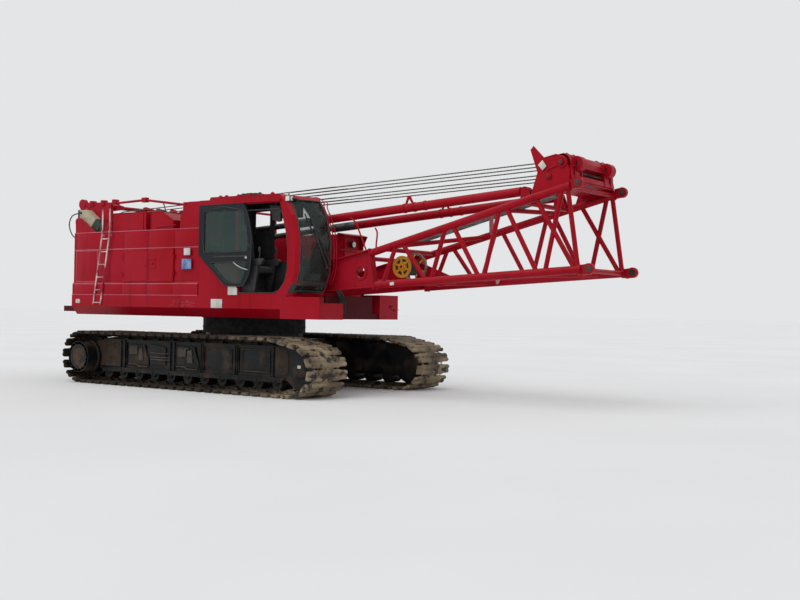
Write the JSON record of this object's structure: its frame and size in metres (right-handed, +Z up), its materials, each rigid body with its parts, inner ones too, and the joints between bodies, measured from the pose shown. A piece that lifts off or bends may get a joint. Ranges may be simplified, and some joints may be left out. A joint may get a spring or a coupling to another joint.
{
  "type": "crawler crane with boom base section",
  "caption": "Crawler crane base machine: long shoe tracks, revolving upper with cab and houses, lowered gantry and a lattice boom base.",
  "frame": {"origin": "on the ground under the middle of the overall length and width", "axes": "+X forward along the boom, +Y to the left, +Z up"},
  "size_m": [12.7896, 4.518, 4.4336],
  "materials": {
    "lower_frame": "black paint under dried mud, semi-matt",
    "track_steel": "worn cast steel caked with dry tan mud",
    "ring_steel": "machined ring, greased",
    "house_red": "glossy crimson enamel, lightly dusty",
    "frame_red": "crimson enamel, semi-gloss, dusty",
    "dark_red": "crimson enamel in shade, dirty",
    "engine_iron": "painted cast iron, oily",
    "gantry_red": "crimson enamel, semi-gloss",
    "sheave_steel": "dark worn sheaves with grease",
    "cylinder_beige": "beige-grey painted box section",
    "cab_glass": "green-tinted safety glass",
    "cab_inside": "black seat fabric and moulded console",
    "door_black": "charcoal painted door frame",
    "rail_red": "crimson painted round bar",
    "drum_steel": "worn steel drum with wound rope",
    "boom_red": "glossy crimson enamel, dust on top",
    "walkway_steel": "galvanised open grating",
    "reel_yellow": "yellow enamel, scuffed",
    "rod_steel": "hard-chromed rod",
    "rope_wire": "dark greased wire rope"
  },
  "bodies": {
    "lower_works": {"carbody": "lower_frame", "slew_ring": "ring_steel", "track_frames": "lower_frame", "track_right": "track_steel", "track_left": "track_steel", "running_gear": "lower_frame"},
    "upper": {"deck_bed": "dark_red", "deck_right": "frame_red", "deck_left": "frame_red", "house_right": "house_red", "house_left": "house_red", "engine": "engine_iron", "gantry_frame": "gantry_red", "gantry_sheaves": "sheave_steel", "raising_cylinders": "cylinder_beige", "upper_brackets": "dark_red", "cab_shell": "house_red", "cab_glass": "cab_glass", "cab_interior": "cab_inside", "ladder": "rail_red"},
    "right_front_door": {"door_right_front": "house_red"},
    "right_rear_door": {"door_right_rear": "house_red"},
    "left_front_door": {"door_left_front": "house_red"},
    "left_rear_door": {"door_left_rear": "house_red"},
    "cab_door": {"cab_door": "door_black", "cab_door_glass": "cab_glass"},
    "front_drum": {"drum_front": "drum_steel"},
    "rear_drum": {"drum_rear": "drum_steel"},
    "boom_hoist_drum": {"drum_boom_hoist": "drum_steel"},
    "boom": {"boom_butts": "boom_red", "boom_butt_ties": "boom_red", "boom_chords": "boom_red", "boom_side_braces": "boom_red", "boom_flat_braces": "boom_red", "boom_end_lugs": "boom_red", "boom_walkway": "walkway_steel", "spreader": "boom_red", "spreader_sheaves": "sheave_steel", "backstop_lugs": "boom_red", "reel_bracket": "boom_red"},
    "reel": {"tagline_reel": "reel_yellow"},
    "backstop_tubes": {"backstop_tubes": "boom_red"},
    "backstop_rods": {"backstop_rods": "rod_steel"},
    "ropes_rear": {"ropes_rear": "rope_wire"},
    "ropes_front": {"ropes_front": "rope_wire"}
  },
  "joints": [
    {"name": "slew", "type": "hinge", "parent": "lower_works", "child": "upper", "pos_m": [-1.92488, 0, 1.3], "axis": [0, 0, 1], "continuous": true},
    {"name": "boom_luff", "type": "hinge", "parent": "upper", "child": "boom", "pos_m": [-1.31688, 0, 1.901], "axis": [0, -1, 0], "range_deg": [-8.8, 71]},
    {"name": "backstop_swing", "type": "hinge", "parent": "boom", "child": "backstop_tubes", "pos_m": [4.97899, 0, 3.71784], "axis": [0, -1, 0], "range_deg": [-4.5, 0.7]},
    {"name": "backstop_slide", "type": "slide", "parent": "backstop_tubes", "child": "backstop_rods", "axis": [0.9972, 0, 0.0753], "range_m": [-0.26, 2.06]},
    {"name": "rear_ropes_swing", "type": "hinge", "parent": "upper", "child": "ropes_rear", "pos_m": [-5.82488, 0, 3.69], "axis": [0, -1, 0], "range_deg": [-6, 47.2]},
    {"name": "front_ropes_swing", "type": "hinge", "parent": "boom", "child": "ropes_front", "pos_m": [5.77447, 0, 4.13474], "axis": [0, -1, 0], "range_deg": [-24.5, 3.3]},
    {"name": "cab_door_slide", "type": "slide", "parent": "upper", "child": "cab_door", "axis": [1, 0, 0], "range_m": [0, 0.96]},
    {"name": "front_drum_spin", "type": "hinge", "parent": "upper", "child": "front_drum", "pos_m": [-3.17488, 0, 2.25], "axis": [0, 1, 0], "continuous": true},
    {"name": "rear_drum_spin", "type": "hinge", "parent": "upper", "child": "rear_drum", "pos_m": [-4.17488, 0, 2.25], "axis": [0, 1, 0], "continuous": true},
    {"name": "boom_hoist_drum_spin", "type": "hinge", "parent": "upper", "child": "boom_hoist_drum", "pos_m": [-5.22488, 0, 2.2], "axis": [0, 1, 0], "continuous": true},
    {"name": "reel_spin", "type": "hinge", "parent": "boom", "child": "reel", "pos_m": [2.26108, 0, 2.45112], "axis": [0, 1, 0], "continuous": true},
    {"name": "right_front_door_swing", "type": "hinge", "parent": "upper", "child": "right_front_door", "pos_m": [-2.67288, -1.6255, 2.4], "axis": [0, 0, 1], "range_deg": [0, 100]},
    {"name": "right_rear_door_swing", "type": "hinge", "parent": "upper", "child": "right_rear_door", "pos_m": [-4.26688, -1.6255, 2.4], "axis": [0, 0, -1], "range_deg": [0, 100]},
    {"name": "left_front_door_swing", "type": "hinge", "parent": "upper", "child": "left_front_door", "pos_m": [-2.67288, 1.6255, 2.4], "axis": [0, 0, -1], "range_deg": [0, 100]},
    {"name": "left_rear_door_swing", "type": "hinge", "parent": "upper", "child": "left_rear_door", "pos_m": [-4.26688, 1.6255, 2.4], "axis": [0, 0, 1], "range_deg": [0, 100]}
  ],
  "couplings": [
    {"joint": "backstop_swing", "follows": "boom_luff", "ratio": -0.06},
    {"joint": "backstop_slide", "follows": "boom_luff", "m_per_rad": 1.65},
    {"joint": "rear_ropes_swing", "follows": "boom_luff", "ratio": 0.66},
    {"joint": "front_ropes_swing", "follows": "boom_luff", "ratio": -0.34}
  ]
}
